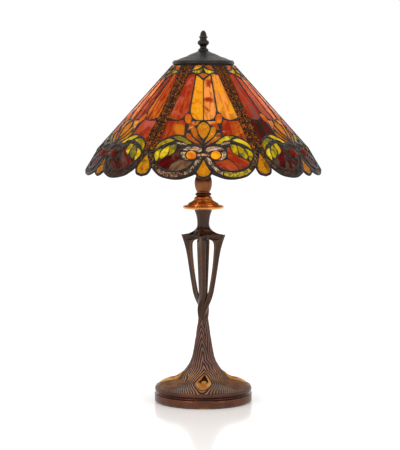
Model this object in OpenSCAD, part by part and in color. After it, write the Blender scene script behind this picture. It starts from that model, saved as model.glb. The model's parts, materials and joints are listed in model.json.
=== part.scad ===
// Stained glass table lamp: bronze stand with an openwork stem, twin light
// cluster, leaded cone shade on a swivelling spider wheel, heat cap and finial.
// Millimetres. Z is up, the table top is Z = 0 and the lamp faces -Y.

/* [Base] */
// Diameter of the foot ring
foot_d = 194; // [150:1:240]
// Diameter of the deck above the groove
deck_d = 188; // [140:1:230]
// Height of the trunk, where the stem begins
waist_z = 163; // [120:1:220]
// Distance of the four flats on the foot ring from the axis
foot_flat = 94; // [80:0.5:120]
// Thickness of the felt pad
felt_t = 2; // [1:0.5:4]

/* [Stem] */
// Radius of the four horned shoulders
shoulder_r = 43; // [30:1:60]
// Width of a strut at the shoulder
strut_w = 15; // [12:0.5:24]
// Turn of the openwork stem about its axis
stem_turn = -8; // [-45:1:45]
// Diameter of the stepped disc
disc_d = 80; // [50:1:110]
// Diameter of the vase below the cluster
vase_d = 34.4; // [24:0.2:50]
// Diameter of the threaded rod
rod_d = 9.6; // [8:0.1:12]

/* [Lights] */
// Lean of each socket from the vertical
socket_tilt = 25; // [15:1:40]
// Distance of each socket base from the axis
socket_x = 24; // [22:0.5:34]
// Diameter of a bulb
bulb_d = 45; // [38:1:50]

/* [Shade] */
// Radius of the shade at the bottom of the skirt
rim_r = 232; // [190:1:260]
// Radius of the shade at the bend above the skirt
bend_r = 203.4; // [170:0.2:230]
// Thickness of the glass
glass_t = 3; // [2:0.1:4]
// Thickness of the soldered came
came_t = 5; // [4:0.1:7]
// Gap left between glass and came
came_gap = 0.35; // [0.2:0.05:0.6]

/* [Cap] */
// Radius of the heat cap
cap_r = 60; // [50:0.5:80]
// Diameter of the finial's screw
screw_d = 6; // [5:0.1:7]

/* [Hidden] */
$fn = 96;
rod_r = rod_d / 2;
bore_r = rod_r + 0.2;
bend_z = 494;
rim_z = 445;
screw_r = screw_d / 2;
post_top = 652;
cone_run = 0.897;
skirt_run = (rim_r - bend_r) / (bend_z - rim_z);
sectors = 6;
bronze = [0.30, 0.16, 0.09];
copper = [0.72, 0.38, 0.14];
brass = [0.78, 0.62, 0.30];
iron = [0.20, 0.20, 0.21];
white = [0.93, 0.92, 0.88];
solder = [0.10, 0.09, 0.08];

// ---------- base ----------

module felt_pad() {
    color([0.12, 0.25, 0.16])
        cylinder(r = foot_flat - 2, h = felt_t);
}

module base_casting() {
    f = foot_d / 2;
    d = deck_d / 2;
    color(bronze)
        difference() {
            foot_with_flats(f, d);
            translate([0, 80, 9])
                rotate([-90, 0, 0])
                    cylinder(r = 4, h = 20, $fn = 48);
        }
}

// The revolved casting with the four flats cut on its foot ring.
module foot_with_flats(f, d) {
    difference() {
        rotate(45)
            rotate_extrude()
                polygon([
                    [bore_r, waist_z], [9.4, waist_z], [11.3, 146], [15.2, 118],
                    [20.9, 94], [24.8, 76], [34, 59], [46, 48], [58, 44], [70, 41],
                    [82, 36], [d - 4, 31], [d, 25], [d - 1, 19.5], [d - 4, 17.5],
                    [d - 4, 16.8], [f - 0.4, 15.5], [f, 9], [f - 1, felt_t], [90, felt_t],
                    [90, 12], [85, 18.5], [79, 29], [67, 34.5], [52, 37.5], [41, 43],
                    [30, 56], [21, 76], [15.5, 96], [11, 96], [11, 20.5],
                    [bore_r, 20.5]
                ]);
        translate([0, 0, felt_t - 1])
            linear_extrude(13.6)
                difference() {
                    square(2 * foot_d, center = true);
                    square(2 * foot_flat, center = true);
                }
    }
}

module base_weight() {
    color(iron)
        rotate_extrude()
            polygon([[bore_r, 10], [80, 10], [80, 19], [78.5, 20.4], [bore_r, 20.4]]);
}

module base_washer() {
    color(brass)
        difference() {
            translate([0, 0, 8.4])
                cylinder(r = 13, h = 1.5);
            translate([0, 0, 8])
                cylinder(r = bore_r, h = 3);
        }
}

module base_nut() {
    color(brass)
        difference() {
            translate([0, 0, 3.8])
                cylinder(r = 8.6, h = 4.5, $fn = 6);
            translate([0, 0, 3])
                cylinder(r = rod_r + 0.05, h = 6);
        }
}

module cord_bush() {
    color([0.08, 0.08, 0.08])
        translate([0, foot_flat, 9])
            rotate([-90, 0, 0])
                rotate_extrude($fn = 48)
                    polygon([[2.6, -6], [3.9, -6], [3.9, 0.1], [5.4, 0.1], [5.4, 1.2],
                             [4.6, 1.9], [2.6, 1.9]]);
}

// ---------- stem ----------

// One strut: the side outline and the front outline of the strut, crossed.
module strut() {
    w = strut_w / 2;
    s = shoulder_r;
    intersection() {
        rotate([90, 0, 90])
            translate([0, 0, -30])
                linear_extrude(60)
                    polygon([
                        [-5.2, waist_z], [-9.2, waist_z], [-14.6, 189], [-21, 216],
                        [-28, 260], [-34, 295], [-s, 325], [-30, 326.5], [-20, 329],
                        [-14, 329], [-14, 319], [-22, 312], [-21.5, 300], [-18, 260],
                        [-12.5, 225], [-8.5, 206], [-5.2, 196]
                    ]);
        rotate([90, 0, 0])
            linear_extrude(60)
                polygon([
                    [-5.5, waist_z - 1], [5.5, waist_z - 1], [w - 1.5, 190], [w - 1.3, 216],
                    [w - 0.9, 255], [w - 0.3, 295], [w, 314], [w - 2.6, 322], [1.5, 327],
                    [1.5, 335], [-1.5, 335], [-1.5, 327], [-w + 2.6, 322], [-w, 314],
                    [-w + 0.3, 295], [-w + 0.9, 255], [-w + 1.3, 216], [-w + 1.5, 190]
                ]);
    }
}

module openwork_stem() {
    color(bronze)
        difference() {
            union() {
                rotate_extrude()
                    polygon([
                        [3, 374], [14.8, 374], [14.2, 369], [12.4, 361], [10.9, 353],
                        [10.5, 346], [11.6, 339], [15.5, 333.5], [21, 329.8], [27, 327],
                        [25, 319], [20, 316], [3, 316]
                    ]);
                rotate_extrude()
                    polygon([[3, waist_z], [9.3, waist_z], [9.6, 176], [3, 176]]);
                for (a = [0:90:270])
                    rotate(a + stem_turn)
                        strut();
            }
            translate([0, 0, waist_z - 2])
                cylinder(r = bore_r, h = 220);
        }
}

module centre_tube() {
    color(brass)
        difference() {
            translate([0, 0, 3.4])
                cylinder(r = rod_r, h = 466.6);
            translate([0, 0, 3])
                cylinder(r = 3.4, h = 468);
        }
}

module stem_disc() {
    d = disc_d / 2;
    color(copper)
        rotate_extrude()
            polygon([
                [bore_r, 374.1], [d - 3, 374.1], [d - 0.8, 375.6], [d, 378], [d - 0.8, 380.4],
                [d - 3.5, 382.2], [d - 8.5, 383.4], [d - 10, 385], [d - 11, 387.2],
                [d - 14.5, 389.6], [d - 19, 391.4], [d - 21, 393.2], [d - 22, 396.5],
                [d - 24, 399], [d - 27.6, 401], [bore_r, 401]
            ]);
}

module stem_ring() {
    color([0.16, 0.09, 0.06])
        rotate_extrude()
            polygon([
                [bore_r, 401.1], [12.6, 401.1], [14.8, 402.1], [15.6, 404], [14.8, 405.9],
                [12.6, 406.9], [bore_r, 406.9]
            ]);
}

module stem_vase() {
    v = vase_d / 2;
    color([0.50, 0.24, 0.12])
        rotate_extrude()
            polygon([
                [bore_r, 407], [v - 4.6, 407], [v - 4.4, 409], [v - 2.8, 412.5],
                [v - 1.1, 418], [v - 0.15, 423.5], [v, 427], [v - 0.5, 431.5],
                [v - 2.3, 437], [v - 5, 442.5], [v - 8, 447], [v - 9, 449.9], [bore_r, 449.9]
            ]);
}

// ---------- lights ----------

// Places its children at both sockets, the second half a turn round from the first.
module at_sockets(which = [0, 1]) {
    for (i = which)
        rotate(180 * i)
            translate([socket_x, 0, 468])
                rotate([0, socket_tilt, 0])
                    children();
}

module cluster_body() {
    color(brass)
        difference() {
            union() {
                rotate_extrude()
                    polygon([
                        [3, 450], [13, 450], [22, 452.5], [29, 456.5], [31, 459.5],
                        [31, 462.6], [29.6, 464], [3, 464]
                    ]);
                at_sockets()
                    translate([0, 0, -6.5])
                        cylinder(r = 4.7, h = 8, $fn = 48);
            }
            translate([0, 0, 449])
                cylinder(r = bore_r, h = 20);
            at_sockets()
                translate([0, 0, -7])
                    cylinder(r = 3, h = 10, $fn = 48);
        }
}

module rod_coupler() {
    color(brass)
        difference() {
            translate([0, 0, 464.1])
                cylinder(r = 7.4, h = 16, $fn = 6);
            translate([0, 0, 460])
                cylinder(r = rod_r + 0.05, h = 24);
        }
}

module upper_post() {
    color(brass)
        difference() {
            translate([0, 0, 470.1])
                cylinder(r = rod_r, h = post_top - 470.1);
            translate([0, 0, post_top - 16])
                cylinder(r = screw_r + 0.1, h = 20);
        }
}

module seat_nut() {
    color(brass)
        difference() {
            translate([0, 0, 634])
                cylinder(r = 8.6, h = 5.9, $fn = 6);
            translate([0, 0, 630])
                cylinder(r = rod_r + 0.05, h = 12);
        }
}

module socket_cups() {
    color(brass)
        at_sockets()
            rotate_extrude($fn = 64)
                polygon([
                    [4.8, 0], [8, 0], [13.5, 4], [16.4, 9.5], [17, 14.9], [16.2, 14.9],
                    [15.6, 10], [12.9, 5.2], [7.6, 1.4], [4.8, 1.4]
                ]);
}

module socket_shells() {
    color(brass)
        at_sockets()
            difference() {
                rotate_extrude($fn = 64)
                    polygon([
                        [16.2, 15], [17, 15], [17, 49], [17.6, 50], [17.6, 52], [16.2, 52]
                    ]);
                translate([0, 0, 24])
                    rotate([90, 0, 0])
                        cylinder(r = 3, h = 20, $fn = 32);
            }
}

module socket_sleeves() {
    color(white)
        at_sockets()
            difference() {
                rotate_extrude($fn = 64)
                    polygon([
                        [0, 15.2], [16, 15.2], [16, 50.5], [14.9, 50.5], [14.9, 28], [0, 28]
                    ]);
                translate([0, 0, 24])
                    rotate([90, 0, 0])
                        cylinder(r = 2.1, h = 20, $fn = 32);
            }
}

module screw_shells() {
    color(brass)
        at_sockets()
            rotate_extrude($fn = 64)
                polygon([
                    [14.1, 28.2], [14.8, 28.2], [14.8, 50], [13.6, 50], [13.6, 49.2],
                    [14.1, 49.2]
                ]);
}

module centre_contacts() {
    color(copper)
        at_sockets()
            translate([0, 0, 28.05])
                cylinder(r = 3.4, h = 1, $fn = 48);
}

module turn_key(i) {
    color([0.10, 0.09, 0.08])
        at_sockets([i])
            translate([0, 0, 24])
                rotate([90, 0, 0]) {
                    translate([0, 0, 3])
                        cylinder(r = 2, h = 24, $fn = 48);
                    hull() {
                        translate([-5, 1.2, 29])
                            rotate([90, 0, 0])
                                cylinder(r = 4, h = 2.4, $fn = 48);
                        translate([5, 1.2, 29])
                            rotate([90, 0, 0])
                                cylinder(r = 4, h = 2.4, $fn = 48);
                    }
                }
}

module key_a() {
    turn_key(0);
}

module key_b() {
    turn_key(1);
}

module globe(i) {
    b = bulb_d / 2;
    color([0.96, 0.93, 0.84])
        at_sockets([i])
            rotate_extrude($fn = 72)
                polygon(concat(
                    [[11.6, 54.2], [12.7, 54.2], [13.4, 58]],
                    [for (a = [-50:10:90]) [b * cos(a), 80 + b * sin(a)]],
                    [for (a = [90:-10:-50]) [(b - 0.9) * cos(a), 80 + (b - 0.9) * sin(a)]],
                    [[12.4, 58]]
                ));
}

module screw_cap(i) {
    color([0.75, 0.75, 0.77])
        at_sockets([i])
            rotate_extrude($fn = 72)
                polygon([
                    [3, 31.6], [9.6, 31.6], [13, 34.5], [13, 51], [13.3, 54], [11, 54],
                    [11, 36.5], [3, 33.2]
                ]);
}

module tip_contact(i) {
    color(copper)
        at_sockets([i])
            translate([0, 0, 29.3])
                cylinder(r1 = 2.6, r2 = 4.4, h = 2.2, $fn = 48);
}

module filament(i) {
    color([1.0, 0.80, 0.45])
        at_sockets([i]) {
            translate([0, 0, 54.2])
                cylinder(r1 = 6, r2 = 2.4, h = 18, $fn = 48);
            translate([0, 0, 72.3])
                cylinder(r = 1, h = 8, $fn = 32);
            translate([0, 0, 82])
                rotate_extrude($fn = 48)
                    translate([8, 0])
                        circle(r = 0.8, $fn = 24);
            translate([-8.2, 0, 80.2])
                cube([16.4, 1.2, 1.2]);
        }
}

module bulb_a_globe() {
    globe(0);
}

module bulb_a_cap() {
    screw_cap(0);
}

module bulb_a_contact() {
    tip_contact(0);
}

module bulb_a_filament() {
    filament(0);
}

module bulb_b_globe() {
    globe(1);
}

module bulb_b_cap() {
    screw_cap(1);
}

module bulb_b_contact() {
    tip_contact(1);
}

module bulb_b_filament() {
    filament(1);
}

// ---------- shade ----------

// Radius of the outside of the glass at height z.
function out_r(z) = z > bend_z ? bend_r - (z - bend_z) * cone_run
                               : bend_r + (bend_z - z) * skirt_run;

// A point [across, height] of the front elevation, laid on the cone and seen from above.
function plan(p) = [p[0], -sqrt(pow(out_r(p[1]), 2) - p[0] * p[0])];

// A point at height z and d mm short of the corner line between two sectors.
function by_corner(z, d) =
    let (a = 180 / sectors - d / out_r(z) * 180 / PI)
        [out_r(z) * sin(a), z];

function unit(v) = v / norm(v);

function area(q) = [for (i = [0:len(q) - 1]) cross(q[i], q[(i + 1) % len(q)])]
                 * [for (i = q) 0.5];

// The outline q with every edge moved out by d.
function grown(q, d) =
    let (n = len(q), s = -sign(area(q)))
        [for (i = [0:n - 1])
            let (u = unit(q[i] - q[(i + n - 1) % n]), v = unit(q[(i + 1) % n] - q[i]),
                 m = s * [-u[1], u[0]], k = s * [-v[1], v[0]])
                q[i] + d * (m + k) / max(0.5, 1 + m * k)];

module shell(top, low, lift, deep) {
    a = lift * 1.344;
    b = deep * 1.344;
    c = lift * 1.16;
    d = deep * 1.16;
    rotate_extrude()
        polygon([
            [out_r(low) + c, low], [bend_r + (a + c) / 2, bend_z], [out_r(top) + a, top],
            [out_r(top) + b, top], [bend_r + (b + d) / 2, bend_z], [out_r(low) + d, low]
        ]);
}

module panes(outlines, gap = 0) {
    for (s = [0:sectors - 1])
        rotate(s * 360 / sectors)
            for (q = outlines)
                translate([0, 0, 430])
                    linear_extrude(240)
                        polygon(gap == 0 ? q : grown(q, gap));
}

module glass(outlines) {
    intersection() {
        shell(649.8, 447, 0, -glass_t);
        panes(outlines);
    }
}

// Outlines of the panes on the right half of the front sector, and their mirror images.
function both(q) = [[for (p = q) plan(p)], [for (p = q) plan([-p[0], p[1]])]];

function pane(q) = [[for (p = q) plan(p)]];

crown_amber = both([[3, 649], [15, 648.5], [20.5, 643.8], [10, 646]]);
crown_green = both([[1.8, 645.5], [8, 643.2], [20, 641], [13, 637.6], [5, 639.4]]);
diamonds = pane([[0, 638.2], [8.4, 635.3], [0, 628.6], [-8.4, 635.3]]);
ribs = concat(
    both([by_corner(649.5, 1.9), by_corner(577.5, 1.9), by_corner(577.5, 12.2),
          by_corner(649.5, 10.5)]),
    both([by_corner(573.5, 1.9), by_corner(497, 1.9), by_corner(497, 12.4),
          by_corner(573.5, 12.2)]));
strips = concat(
    both([[12.2, 633.2], [1.8, 623.8], [1.8, 551], [15.5, 553.6], [21, 563], [22.4, 572]]),
    both([[27, 634], [15.8, 636.4], [27, 565.6], [35.5, 555.6], [48.5, 551.4],
          [62.2, 555.6], [50, 580]]));
gems = both([[28, 562.8], [22.8, 556.8], [24.2, 549.2], [29.6, 545], [33.6, 552.2],
             [32, 559.3]]);
fields = both([[64, 548.4], [49, 548], [36.8, 549.6], [35.6, 543.5], [37.4, 525],
               [56.5, 524.6], [71.2, 520], [78.6, 514.4]]);
wedges = both([[8, 547.8], [19.6, 548.4], [24.6, 543.8], [26.6, 534.4], [21, 538.4]]);
petals = concat(
    pane([[0, 545.6], [6.6, 541.6], [9.6, 535.4], [6.4, 527.2], [0, 517.6], [-6.4, 527.2],
          [-9.6, 535.4], [-6.6, 541.6]]),
    both([[21.6, 533.6], [15.4, 535.6], [11.8, 526.6], [4.6, 513], [17.2, 522.2]]),
    both([[31, 524.8], [25.4, 526], [20.6, 519], [7.8, 508.6], [17.2, 512.4],
          [28.4, 517.8]]));
leaves = concat(
    both([[55, 520], [44, 521], [34.6, 516.6], [24, 509.4], [30, 509.6], [37.2, 514.2],
          [45.4, 515.2]]),
    both([[87.4, 497.6], [83, 506.4], [74.6, 513.4], [63.4, 517.6], [56, 515.8],
          [71, 509.4], [79.8, 504.4]]),
    both([[88.6, 487], [86.4, 493.4], [76.6, 501], [82.2, 490], [83.6, 483.6],
          [86, 479.6]]),
    both([[63.8, 504], [65.2, 497.4], [69.2, 489.4], [77.6, 483], [79, 486.4],
          [78, 489.6], [72.6, 498]]),
    both([[60, 503.8], [51, 505.8], [52.6, 498], [55.8, 493.2], [62.2, 489.8],
          [61.2, 497.2]]));
lobes = concat(
    both([[47.4, 500.6], [44.8, 500.8], [46.2, 490], [47, 483.6], [58, 476.6],
          [64.2, 468.6], [66.6, 464.6], [74.4, 467.8], [80.6, 471.8], [83.8, 476.2],
          [76.6, 478.6], [66.4, 482.8], [60, 487], [51.4, 492.9]]),
    both([[43.5, 479.4], [33, 476.6], [23.2, 476], [26.2, 472.2], [34.4, 467.2],
          [47.6, 462.9], [57.6, 462.8], [62.4, 463.6], [58.4, 469.4], [52, 474.6]]));
bands = concat(
    both([[36.2, 498], [27, 501.8], [13.4, 502.4], [5, 501], [4.6, 497], [8, 495],
          [17.4, 497.4], [29.6, 497.4]]),
    both([[42.2, 495.2], [40.8, 487], [37.8, 482.2], [32.6, 479.6], [30.2, 480.8],
          [34.4, 484.6], [35.6, 490], [34.6, 493.2]]),
    both([[47.6, 510.6], [40, 509.8], [33.6, 507.2], [34.2, 505.6], [40.4, 507.4],
          [47.2, 508.4]]));
jewel_outlines = both([for (a = [15:30:345]) [22.8 + 9.2 * cos(a), 488.2 + 6.6 * sin(a)]]);
bars = pane([[-11.6, 490], [11.6, 490], [11.6, 486.6], [-11.6, 486.6]]);
borders = concat(
    both([[99.2, 492.8], [94.4, 493.2], [92.8, 482], [88.4, 470.8], [91.6, 468.6],
          [97.4, 481.6]]),
    both([[84.8, 459.2], [76.8, 454.6], [62.2, 451], [47.4, 451.4], [38, 454.4],
          [39, 458.6], [54.6, 457], [69.4, 459.2], [80.2, 463]]),
    both([[33.4, 454.6], [25, 459.8], [16, 469], [8, 477.6], [5, 482.4], [11, 480.4],
          [18.2, 471.6], [26.2, 463], [34, 459.2]]));
tongues = concat(
    pane([[0, 477.6], [11.4, 459.2], [8, 454.4], [0, 451.4], [-8, 454.4],
          [-11.4, 459.2]]),
    [for (q = [[for (p = [[0, 489], [5.4, 483], [8.6, 476], [10.6, 465], [7.4, 458.6],
                          [0, 455.8], [-7.4, 458.6], [-10.6, 465], [-8.6, 476],
                          [-5.4, 484]]) plan(p)]])
        [for (v = q) [v[0] * cos(30) - v[1] * sin(30), v[0] * sin(30) + v[1] * cos(30)]]]);
all_panes = concat(crown_amber, crown_green, diamonds, ribs, strips, gems, fields, wedges,
                   petals, leaves, lobes, bands, jewel_outlines, bars, borders, tongues);

// The scalloped edge of one sector, half of it, from the centre tongue to the corner.
edge = [[0, 447.6], [9, 450.6], [15, 456.4], [27.7, 451], [42, 446.6], [58.5, 446.4],
        [76, 450], [88, 458], [96.4, 468]];
edge_corner = [[-9.4, 455], [0, 451.6]];

function turned(v, a) = [v[0] * cos(a) - v[1] * sin(a), v[0] * sin(a) + v[1] * cos(a)];
half_edge = concat([for (p = edge) plan(p)], [for (p = edge_corner) turned(plan(p), 30)]);
lap = concat(
    [for (i = [len(half_edge) - 1:-1:1]) [-half_edge[i][0], half_edge[i][1]]],
    [for (i = [0:len(half_edge) - 2]) half_edge[i]]);

module scallops() {
    translate([0, 0, 430])
        linear_extrude(240)
            polygon([for (s = [0:sectors - 1]) for (p = lap) turned(p, s * 360 / sectors)]);
}

module lead_came() {
    color(solder) {
        difference() {
            intersection() {
                rotate(9)
                    shell(650.2, 440, 1, 1 - came_t);
                scallops();
            }
            panes(all_panes, came_gap);
        }
        rotate(9)
            rotate_extrude()
                polygon([
                    [56.5, 650.2], [out_r(650.2) + 1.3, 650.2], [out_r(653.4) + 1.3, 653.4],
                    [56.5, 653.4]
                ]);
    }
}

module crown_ring() {
    color(brass)
        rotate_extrude()
            polygon([
                [50.5, 647.05], [54.4, 647.05], [54.4, 641], [56.4, 641], [56.4, 653.4],
                [54.9, 653.4], [54.9, 649], [50.5, 649]
            ]);
}

module spider_wheel() {
    color(brass)
        difference() {
            union() {
                rotate_extrude()
                    polygon([[50, 642], [54.2, 642], [54.2, 647], [50, 647]]);
                translate([0, 0, 640])
                    cylinder(r = 9.5, h = 10);
                for (a = [0:120:240])
                    rotate(a)
                        translate([8, -4, 642])
                            cube([43, 8, 3]);
            }
            translate([0, 0, 638])
                cylinder(r = rod_r + 0.1, h = 14);
        }
}

module crown_leaves_amber() {
    color([0.90, 0.45, 0.08])
        glass(crown_amber);
}

module crown_leaves_green() {
    color([0.50, 0.55, 0.12])
        glass(crown_green);
}

module crown_diamonds() {
    color([0.60, 0.32, 0.06])
        glass(diamonds);
}

module rib_glass() {
    color([0.36, 0.20, 0.08])
        glass(ribs);
}

module strip_glass() {
    color([0.93, 0.42, 0.08])
        glass(strips);
}

module oval_gems() {
    color([0.92, 0.60, 0.12])
        glass(gems);
}

module field_glass() {
    color([0.90, 0.40, 0.08])
        glass(fields);
}

module wedge_glass() {
    color([0.93, 0.62, 0.16])
        glass(wedges);
}

module petal_glass() {
    color([0.88, 0.36, 0.08])
        glass(petals);
}

module leaf_glass() {
    color([0.62, 0.64, 0.14])
        glass(leaves);
}

module lobe_glass() {
    color([0.62, 0.12, 0.06])
        glass(lobes);
}

module band_glass() {
    color([0.85, 0.78, 0.66])
        glass(bands);
}

module jewels() {
    color([0.85, 0.45, 0.06])
        glass(jewel_outlines);
}

module twist_bars() {
    color([0.80, 0.70, 0.50])
        glass(bars);
}

module border_glass() {
    color([0.80, 0.66, 0.50])
        glass(borders);
}

module tongue_glass() {
    color([0.90, 0.62, 0.10])
        glass(tongues);
}

// ---------- cap ----------

module heat_cap() {
    c = cap_r;
    color([0.12, 0.09, 0.07])
        rotate_extrude()
            polygon([
                [screw_r + 0.3, 681], [11, 681], [20.9, 675.8], [28.3, 672.3], [37.2, 668.6],
                [44.7, 665.9], [c - 7.8, 663.2], [c - 4, 662.3], [c - 1.2, 660.6],
                [c, 657.8], [c - 1, 655], [c - 3, 654], [c - 4.6, 654.6], [c - 5, 656.4],
                [c - 5.4, 659.4], [c - 8, 660.8], [44, 663.6], [36.4, 666.2], [27.4, 669.9],
                [20, 673.4], [11, 678], [screw_r + 0.3, 678]
            ]);
}

module finial() {
    color([0.24, 0.14, 0.08])
        rotate_extrude()
            polygon([
                [screw_r + 0.1, 681.1], [9.6, 681.1], [10.1, 682.6], [9.4, 684.4], [7, 686.4],
                [6.3, 689], [7.4, 691.4], [10.2, 694], [11.2, 697], [10.2, 700], [7.6, 702],
                [6.7, 703.6], [7, 706], [8.6, 707.4], [8.6, 708.8], [6.4, 709.6],
                [6.2, 711.4], [5.7, 714.6], [4.4, 717.6], [2.6, 719.8], [0, 720.7],
                [0, 700.2], [screw_r + 0.1, 700.2]
            ]);
}

module finial_screw() {
    color(brass)
        translate([0, 0, post_top - 12])
            cylinder(r = screw_r, h = 700.1 - post_top + 12, $fn = 64);
}

felt_pad();
base_casting();
base_weight();
base_washer();
base_nut();
cord_bush();
openwork_stem();
centre_tube();
stem_disc();
stem_ring();
stem_vase();
cluster_body();
rod_coupler();
upper_post();
seat_nut();
socket_cups();
socket_shells();
socket_sleeves();
screw_shells();
centre_contacts();
key_a();
key_b();
bulb_a_globe();
bulb_a_cap();
bulb_a_contact();
bulb_a_filament();
bulb_b_globe();
bulb_b_cap();
bulb_b_contact();
bulb_b_filament();
spider_wheel();
crown_ring();
lead_came();
crown_leaves_amber();
crown_leaves_green();
crown_diamonds();
rib_glass();
strip_glass();
oval_gems();
field_glass();
wedge_glass();
petal_glass();
leaf_glass();
lobe_glass();
band_glass();
jewels();
twist_bars();
border_glass();
tongue_glass();
heat_cap();
finial();
finial_screw();
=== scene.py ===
"""Looks of the stained glass table lamp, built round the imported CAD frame. Lengths in mm
are turned into metres by MM. The lamp faces the camera at -Y; +X is to the camera's right."""

import json
import math
import random

import bpy
import numpy as np
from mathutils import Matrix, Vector, kdtree
from mathutils.geometry import delaunay_2d_cdt


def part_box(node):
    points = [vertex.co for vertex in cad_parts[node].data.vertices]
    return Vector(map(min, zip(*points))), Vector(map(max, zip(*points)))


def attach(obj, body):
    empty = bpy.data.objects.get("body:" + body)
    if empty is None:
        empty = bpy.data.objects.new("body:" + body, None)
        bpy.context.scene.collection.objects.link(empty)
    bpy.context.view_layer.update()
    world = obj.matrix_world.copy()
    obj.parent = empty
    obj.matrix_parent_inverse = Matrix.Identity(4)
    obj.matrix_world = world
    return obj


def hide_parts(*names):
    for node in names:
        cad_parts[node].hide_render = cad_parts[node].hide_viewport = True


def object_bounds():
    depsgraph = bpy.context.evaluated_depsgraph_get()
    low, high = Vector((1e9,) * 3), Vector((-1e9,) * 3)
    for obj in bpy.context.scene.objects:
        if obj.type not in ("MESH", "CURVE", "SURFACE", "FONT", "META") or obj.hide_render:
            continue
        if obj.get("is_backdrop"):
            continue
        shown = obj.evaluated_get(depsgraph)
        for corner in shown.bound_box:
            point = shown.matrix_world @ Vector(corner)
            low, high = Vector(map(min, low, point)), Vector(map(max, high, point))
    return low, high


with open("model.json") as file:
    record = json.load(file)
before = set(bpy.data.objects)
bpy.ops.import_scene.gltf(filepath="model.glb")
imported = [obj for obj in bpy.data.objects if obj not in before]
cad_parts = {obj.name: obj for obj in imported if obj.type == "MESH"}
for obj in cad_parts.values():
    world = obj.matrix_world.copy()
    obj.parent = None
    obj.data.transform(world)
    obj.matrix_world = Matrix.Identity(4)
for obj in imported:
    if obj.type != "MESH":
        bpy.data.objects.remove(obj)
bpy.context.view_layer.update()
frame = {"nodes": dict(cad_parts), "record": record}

MM = 0.001
QUARTER = math.pi / 2
SECTORS = 6
SECTOR = 2 * math.pi / SECTORS
rng = random.Random(7)


def far_corner_mm(node):
    """The right, rear and top of a CAD node's box."""
    return [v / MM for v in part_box(node)[1]]


# ---------- camera, light and floor ----------

# In metres, and degrees looked down. The small shift keeps tall poses in the picture.
CAMERA_AT = (-0.0064, -3.11, 0.601)
CAMERA_DIP = 3.6
CAMERA_LENS = 128.37
CAMERA_SHIFT = -0.07
BULB_X = 0.064
BULB_Z = 0.555


def put(name, data, place=(0, 0, 0)):
    """A new object in the scene."""
    obj = bpy.data.objects.new(name, data)
    obj.location = place
    bpy.context.collection.objects.link(obj)
    return obj


def add_camera():
    data = bpy.data.cameras.new("camera")
    data.lens = CAMERA_LENS
    data.shift_y = CAMERA_SHIFT
    camera = put("camera", data, CAMERA_AT)
    camera.rotation_euler = (math.radians(90 - CAMERA_DIP), 0, 0)
    bpy.context.scene.camera = camera


def add_area(name, place, aim, size, power):
    data = bpy.data.lights.new(name, "AREA")
    data.shape = "RECTANGLE"
    data.size, data.size_y = size
    data.energy = power
    turn = (Vector(aim) - Vector(place)).to_track_quat("-Z", "Y")
    put(name, data, place).rotation_euler = turn.to_euler()


def add_glow(name, place):
    data = bpy.data.lights.new(name, "POINT")
    data.energy = 0.7
    data.color = (1.0, 0.8, 0.55)
    data.shadow_soft_size = 0.03
    put(name, data, place)


def add_studio():
    world = bpy.data.worlds.new("studio")
    world.use_nodes = True
    world.node_tree.nodes["Background"].inputs["Color"].default_value = (1, 1, 1, 1)
    bpy.context.scene.world = world
    bpy.context.scene.view_settings.view_transform = "Standard"
    add_area("key", (-1.4, -1.9, 1.9), (0, 0, 0.4), (0.9, 0.9), 14)
    add_area("fill", (1.6, -1.7, 1.2), (0, 0, 0.35), (0.6, 1.4), 9)
    add_area("top", (0.1, 0.3, 2.4), (0, 0, 0.3), (1.2, 1.2), 6)
    add_glow("bulb_a_glow", (BULB_X, 0, BULB_Z))
    add_glow("bulb_b_glow", (-BULB_X, 0, BULB_Z))


# ---------- meshes ----------

def new_object(name, verts, faces):
    mesh = bpy.data.meshes.new(name)
    mesh.from_pydata([tuple(v) for v in np.asarray(verts) * MM], [], faces)
    mesh.validate()
    mesh.shade_smooth()
    return put(name, mesh)


def paint(obj, material):
    obj.data.materials.clear()
    obj.data.materials.append(material)


def dress(obj, material, slot, body, *nodes):
    """Gives a piece its material, body and the CAD nodes it replaces; slot is not used."""
    paint(obj, material)
    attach(obj, body)
    if nodes:
        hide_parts(*nodes)


def point_colours(mesh, name, colours):
    attribute = mesh.color_attributes.new(name, "FLOAT_COLOR", "POINT")
    attribute.data.foreach_set("color", colours.ravel())


def grid_faces(rows, columns, ring=False):
    """Quads between rows of points, each closed on itself; a ring joins its last row too."""
    faces = []
    for i in range(rows if ring else rows - 1):
        here, after = i * columns, (i + 1) % rows * columns
        for j in range(columns):
            k = (j + 1) % columns
            faces.append((here + j, here + k, after + k, after + j))
    return faces


def azimuths(around):
    return np.linspace(0, 2 * math.pi, around, endpoint=False)


def about_axis(r, phi, z):
    """Points at radius r, azimuth phi from the front towards +X, and height z."""
    return np.stack([r * np.sin(phi), -r * np.cos(phi), z], axis=-1)


def off_quarter(phi):
    """Azimuth from the nearest of the front, right, rear and left."""
    return (phi + QUARTER / 2) % QUARTER - QUARTER / 2


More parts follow.
